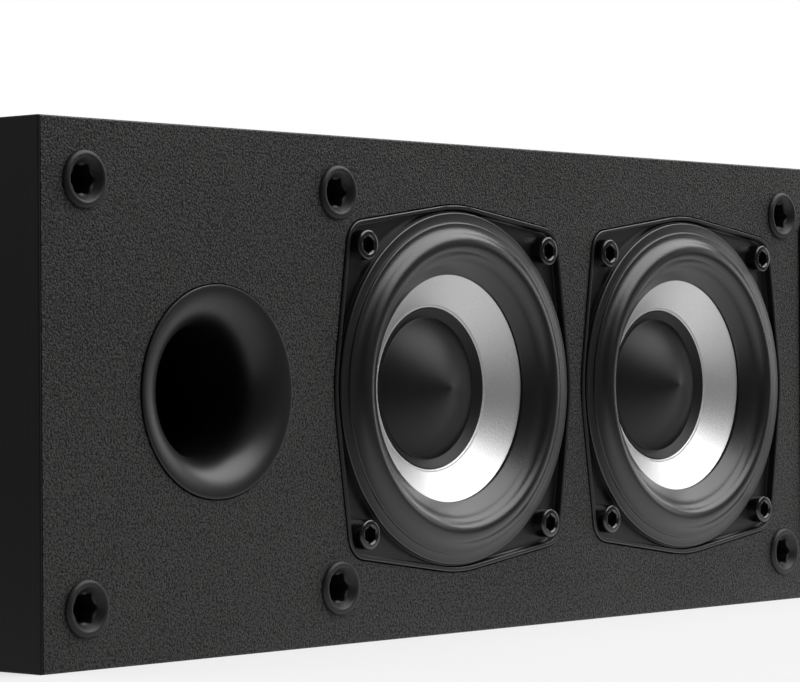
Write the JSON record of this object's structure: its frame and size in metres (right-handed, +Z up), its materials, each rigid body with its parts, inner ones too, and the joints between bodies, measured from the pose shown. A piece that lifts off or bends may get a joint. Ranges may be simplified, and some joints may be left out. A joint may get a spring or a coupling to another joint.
{
  "type": "center channel speaker",
  "caption": "Long low black loudspeaker with a row of small cone woofers either side of a dome tweeter, flared front ports and screw terminals behind.",
  "frame": {"origin": "middle of the cabinet's underside, on the surface it stands on", "axes": "+X along the cabinet to the right as seen from the front, +Y from the front to the back, +Z up"},
  "size_m": [0.614, 0.1431, 0.11],
  "materials": {
    "cabinet_vinyl": "smooth black vinyl film over fibreboard",
    "baffle_vinyl": "fine pebbled black vinyl film over fibreboard",
    "bare_board": "bare fibreboard",
    "felt": "grey needle felt",
    "port_plastic": "satin black moulding",
    "socket_plastic": "satin black moulding",
    "basket_black": "glossy black moulded frame",
    "surround_rubber": "soft matte black rubber",
    "cone_silver": "fine-grained silver cone",
    "cap_black": "satin black dust cap",
    "copper": "enamelled copper wire",
    "spider_cloth": "resin-dipped yellow cloth",
    "plated_steel": "zinc-plated steel",
    "ferrite": "dark grey sintered ferrite",
    "screw_black": "black oxide steel",
    "faceplate_black": "satin black moulded plate",
    "dome_silk": "coated black silk",
    "cup_plastic": "grained black moulding",
    "post_gold": "gold-plated brass",
    "cap_red": "translucent red moulding",
    "cap_dark": "black moulding",
    "board_green": "solder-masked circuit board",
    "nylon": "natural nylon",
    "capacitor_film": "amber wrapped film capacitor",
    "cement": "white ceramic block"
  },
  "bodies": {
    "cabinet": {"cabinet_wrap": "cabinet_vinyl", "front_baffle": "baffle_vinyl", "rear_panel": "cabinet_vinyl", "brace_left": "bare_board", "brace_right": "bare_board", "damping_pads": "felt", "port_left": "port_plastic", "port_right": "port_plastic", "grille_sockets": "socket_plastic", "woofer_top_plates": "plated_steel", "woofer_magnets": "ferrite", "woofer_yokes": "plated_steel", "woofer_screws": "screw_black", "tweeter_faceplate": "faceplate_black", "tweeter_dome": "dome_silk", "tweeter_voice_coil": "copper", "tweeter_top_plate": "plated_steel", "tweeter_magnet": "ferrite", "tweeter_yoke": "plated_steel", "tweeter_screws": "screw_black", "terminal_cup": "cup_plastic", "terminal_screws": "screw_black", "post_nuts": "plated_steel", "crossover_board": "board_green", "crossover_standoffs": "nylon", "crossover_inductors": "copper", "crossover_capacitors": "capacitor_film", "crossover_resistor": "cement", "woofer_basket_1": "basket_black", "surround_1": "surround_rubber", "spider_1": "spider_cloth", "woofer_basket_2": "basket_black", "surround_2": "surround_rubber", "spider_2": "spider_cloth", "woofer_basket_3": "basket_black", "surround_3": "surround_rubber", "spider_3": "spider_cloth", "woofer_basket_4": "basket_black", "surround_4": "surround_rubber", "spider_4": "spider_cloth", "post_stud_red": "post_gold", "post_stud_black": "post_gold"},
    "woofer_cone_1": {"cone_1": "cone_silver", "dust_cap_1": "cap_black", "voice_coil_1": "copper"},
    "woofer_cone_2": {"cone_2": "cone_silver", "dust_cap_2": "cap_black", "voice_coil_2": "copper"},
    "woofer_cone_3": {"cone_3": "cone_silver", "dust_cap_3": "cap_black", "voice_coil_3": "copper"},
    "woofer_cone_4": {"cone_4": "cone_silver", "dust_cap_4": "cap_black", "voice_coil_4": "copper"},
    "red_bush": {"post_insert_red": "post_gold"},
    "red_cap": {"post_cap_red": "cap_red"},
    "black_bush": {"post_insert_black": "post_gold"},
    "black_cap": {"post_cap_black": "cap_dark"}
  },
  "joints": [
    {"name": "woofer_1_travel", "type": "slide", "parent": "cabinet", "child": "woofer_cone_1", "axis": [0, -1, 0], "range_m": [-0.0025, 0.0025], "stiffness_N_per_m": 1000, "deforming": ["surround_1", "spider_1"]},
    {"name": "woofer_2_travel", "type": "slide", "parent": "cabinet", "child": "woofer_cone_2", "axis": [0, -1, 0], "range_m": [-0.0025, 0.0025], "stiffness_N_per_m": 1000, "deforming": ["surround_2", "spider_2"]},
    {"name": "woofer_3_travel", "type": "slide", "parent": "cabinet", "child": "woofer_cone_3", "axis": [0, -1, 0], "range_m": [-0.0025, 0.0025], "stiffness_N_per_m": 1000, "deforming": ["surround_3", "spider_3"]},
    {"name": "woofer_4_travel", "type": "slide", "parent": "cabinet", "child": "woofer_cone_4", "axis": [0, -1, 0], "range_m": [-0.0025, 0.0025], "stiffness_N_per_m": 1000, "deforming": ["surround_4", "spider_4"]},
    {"name": "post_red_lift", "type": "slide", "parent": "cabinet", "child": "red_bush", "axis": [0, 1, 0], "range_m": [0, 0.0032]},
    {"name": "post_red_turn", "type": "hinge", "parent": "red_bush", "child": "red_cap", "pos_m": [-0.00953, 0.0585, 0.055], "axis": [0, 1, 0], "range_deg": [0, 1440]},
    {"name": "post_black_lift", "type": "slide", "parent": "cabinet", "child": "black_bush", "axis": [0, 1, 0], "range_m": [0, 0.0032]},
    {"name": "post_black_turn", "type": "hinge", "parent": "black_bush", "child": "black_cap", "pos_m": [0.00953, 0.0585, 0.055], "axis": [0, 1, 0], "range_deg": [0, 1440]}
  ],
  "couplings": [
    {"joint": "post_red_turn", "follows": "post_red_lift", "rad_per_m": 7853.9},
    {"joint": "post_black_turn", "follows": "post_black_lift", "rad_per_m": 7853.9}
  ]
}
